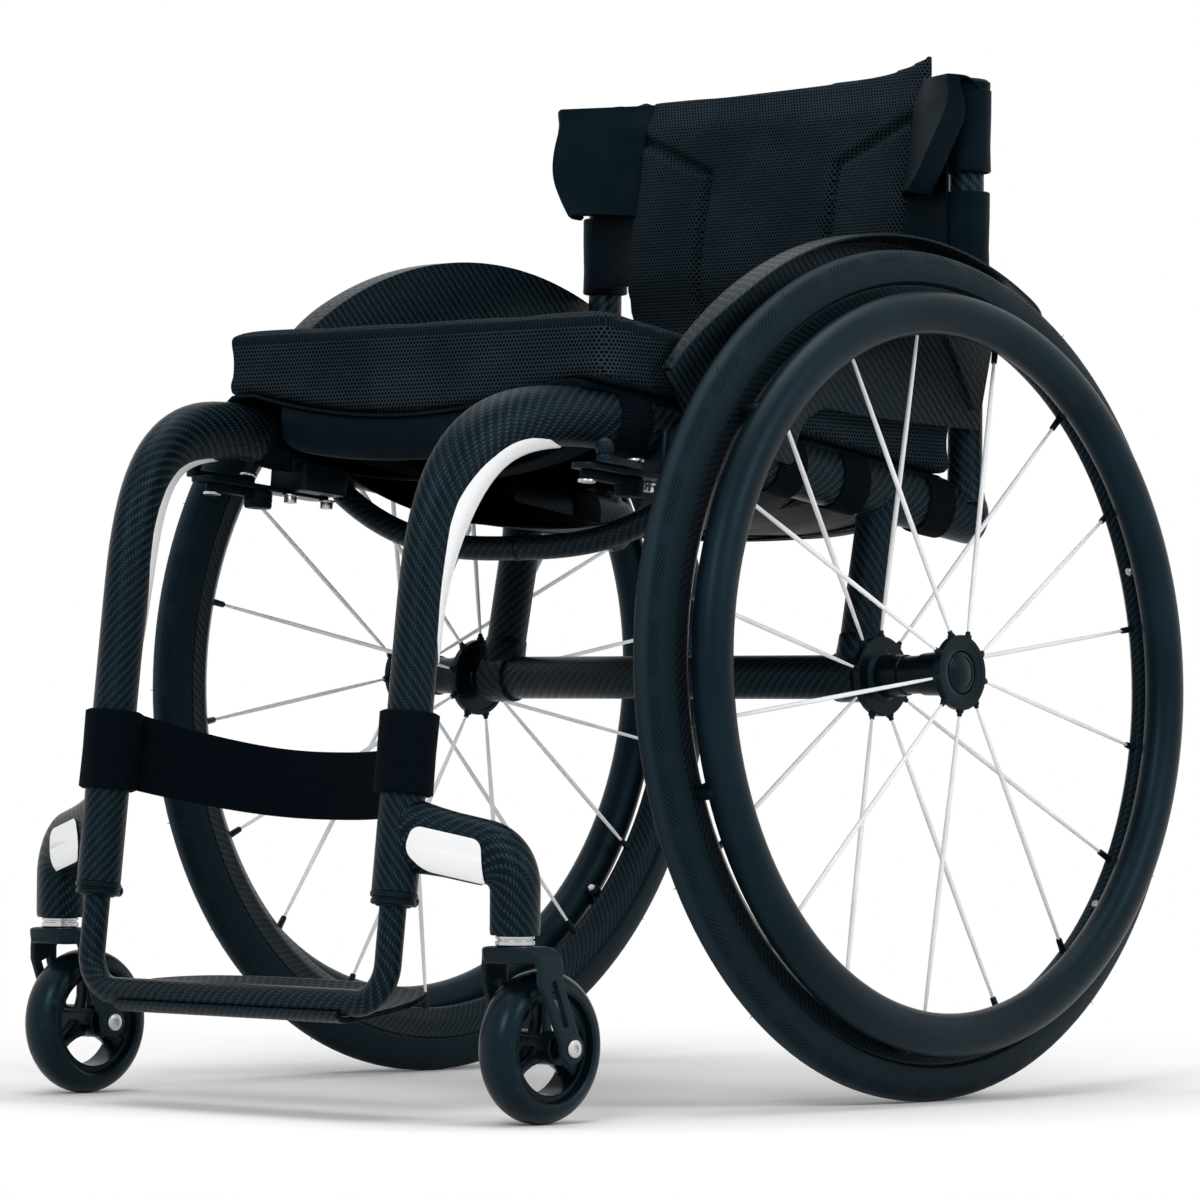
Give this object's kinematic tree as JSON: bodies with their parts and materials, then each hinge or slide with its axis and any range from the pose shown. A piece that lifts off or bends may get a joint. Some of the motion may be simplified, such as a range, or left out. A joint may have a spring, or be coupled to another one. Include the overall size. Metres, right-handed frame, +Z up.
{
  "type": "rigid wheelchair",
  "caption": "Rigid-frame manual wheelchair with a bent tube frame, cambered spoked rear wheels with push rims, swivelling front casters, footrest, cushion and low back.",
  "frame": {"origin": "on the floor, in the middle of the footprint", "axes": "+X to the sitter's left, -Y to the front, +Z up"},
  "size_m": [0.5492, 0.7452, 0.7365],
  "materials": {
    "carbon": "satin twill carbon fibre",
    "black_metal": "satin black anodised aluminium",
    "silver_metal": "bright steel",
    "white_insert": "plain white gloss",
    "rubber": "smooth dark rubber",
    "brake_pad": "hard black rubber",
    "fabric": "black mesh and webbing"
  },
  "bodies": {
    "frame": {"side_frame_left": "carbon", "side_frame_right": "carbon", "caster_arm_left": "carbon", "caster_arm_right": "carbon", "axle_upright_left": "carbon", "axle_upright_right": "carbon", "axle_lug_left": "carbon", "axle_lug_right": "carbon", "axle_sleeve_left": "black_metal", "axle_sleeve_right": "black_metal", "leg_collar_left": "black_metal", "leg_collar_right": "black_metal", "back_cane_left": "carbon", "back_cane_right": "carbon", "cane_sleeve_left": "fabric", "cane_sleeve_right": "fabric", "back_wing_left": "fabric", "back_wing_right": "fabric", "side_guard_left": "carbon", "side_guard_right": "carbon", "brake_clamp_left": "black_metal", "brake_clamp_right": "black_metal", "leg_insert_left": "white_insert", "leg_insert_right": "white_insert", "arm_insert_left": "white_insert", "arm_insert_right": "white_insert", "stem_spacer_left": "silver_metal", "stem_spacer_right": "silver_metal", "axle_tube": "carbon", "seat_brace": "carbon", "seat_sling": "fabric", "calf_strap": "fabric", "back_upholstery": "fabric"},
    "cushion": {"seat_cushion": "fabric"},
    "footrest": {"footrest_tube": "carbon", "footplate": "carbon"},
    "axle_left": {"axle_pin_left": "silver_metal"},
    "button_left": {"release_button_left": "black_metal"},
    "rear_wheel_left": {"rear_tyre_left": "rubber", "rim_and_spokes_left": "carbon", "hand_rim_left": "carbon", "wheel_hub_left": "black_metal"},
    "fork_left": {"caster_fork_left": "black_metal", "caster_bolt_left": "silver_metal"},
    "caster_left": {"caster_tyre_left": "rubber", "caster_core_left": "black_metal"},
    "lever_left": {"brake_lever_left": "black_metal"},
    "shoe_left": {"brake_shoe_left": "brake_pad"},
    "axle_right": {"axle_pin_right": "silver_metal"},
    "button_right": {"release_button_right": "black_metal"},
    "rear_wheel_right": {"rear_tyre_right": "rubber", "rim_and_spokes_right": "carbon", "hand_rim_right": "carbon", "wheel_hub_right": "black_metal"},
    "fork_right": {"caster_fork_right": "black_metal", "caster_bolt_right": "silver_metal"},
    "caster_right": {"caster_tyre_right": "rubber", "caster_core_right": "black_metal"},
    "lever_right": {"brake_lever_right": "black_metal"},
    "shoe_right": {"brake_shoe_right": "brake_pad"}
  },
  "joints": [
    {"name": "cushion_lift", "type": "slide", "parent": "frame", "child": "cushion", "axis": [0, 0, 1], "range_m": [0, 0.06]},
    {"name": "footrest_slide", "type": "slide", "parent": "frame", "child": "footrest", "axis": [0, 0.1133, 0.9936], "range_m": [-0.03, 0.02]},
    {"name": "wheel_release_left", "type": "slide", "parent": "frame", "child": "axle_left", "axis": [0.9994, 0, 0.0349], "range_m": [0, 0.11]},
    {"name": "wheel_spin_left", "type": "hinge", "parent": "axle_left", "child": "rear_wheel_left", "pos_m": [0.2284, 0.07761, 0.29496], "axis": [0.9994, 0, 0.0349], "continuous": true},
    {"name": "button_press_left", "type": "slide", "parent": "axle_left", "child": "button_left", "axis": [-0.9994, 0, -0.0349], "range_m": [0, 0.0035]},
    {"name": "caster_swivel_left", "type": "hinge", "parent": "frame", "child": "fork_left", "pos_m": [0.2153, -0.31939, 0.1155], "axis": [0, 0, 1], "continuous": true},
    {"name": "caster_spin_left", "type": "hinge", "parent": "fork_left", "child": "caster_left", "pos_m": [0.2153, -0.29489, 0.05], "axis": [1, 0, 0], "continuous": true},
    {"name": "brake_lever_left", "type": "hinge", "parent": "frame", "child": "lever_left", "pos_m": [0.184, -0.1722, 0.42788], "axis": [0, 0.0802, 0.9968], "range_deg": [0, 30]},
    {"name": "brake_shoe_left", "type": "hinge", "parent": "frame", "child": "shoe_left", "pos_m": [0.178, -0.21246, 0.4263], "axis": [0, 0.0802, 0.9968], "range_deg": [-33, 0]},
    {"name": "wheel_release_right", "type": "slide", "parent": "frame", "child": "axle_right", "axis": [-0.9994, 0, 0.0349], "range_m": [0, 0.11]},
    {"name": "wheel_spin_right", "type": "hinge", "parent": "axle_right", "child": "rear_wheel_right", "pos_m": [-0.2284, 0.07761, 0.29496], "axis": [-0.9994, 0, 0.0349], "continuous": true},
    {"name": "button_press_right", "type": "slide", "parent": "axle_right", "child": "button_right", "axis": [0.9994, 0, -0.0349], "range_m": [0, 0.0035]},
    {"name": "caster_swivel_right", "type": "hinge", "parent": "frame", "child": "fork_right", "pos_m": [-0.2153, -0.31939, 0.1155], "axis": [0, 0, 1], "continuous": true},
    {"name": "caster_spin_right", "type": "hinge", "parent": "fork_right", "child": "caster_right", "pos_m": [-0.2153, -0.29489, 0.05], "axis": [1, 0, 0], "continuous": true},
    {"name": "brake_lever_right", "type": "hinge", "parent": "frame", "child": "lever_right", "pos_m": [-0.184, -0.1722, 0.42788], "axis": [0, -0.0802, -0.9968], "range_deg": [0, 30]},
    {"name": "brake_shoe_right", "type": "hinge", "parent": "frame", "child": "shoe_right", "pos_m": [-0.178, -0.21246, 0.4263], "axis": [0, -0.0802, -0.9968], "range_deg": [-33, 0]}
  ],
  "couplings": [
    {"joint": "brake_shoe_left", "follows": "brake_lever_left", "ratio": -1.1},
    {"joint": "brake_shoe_right", "follows": "brake_lever_right", "ratio": -1.1}
  ]
}
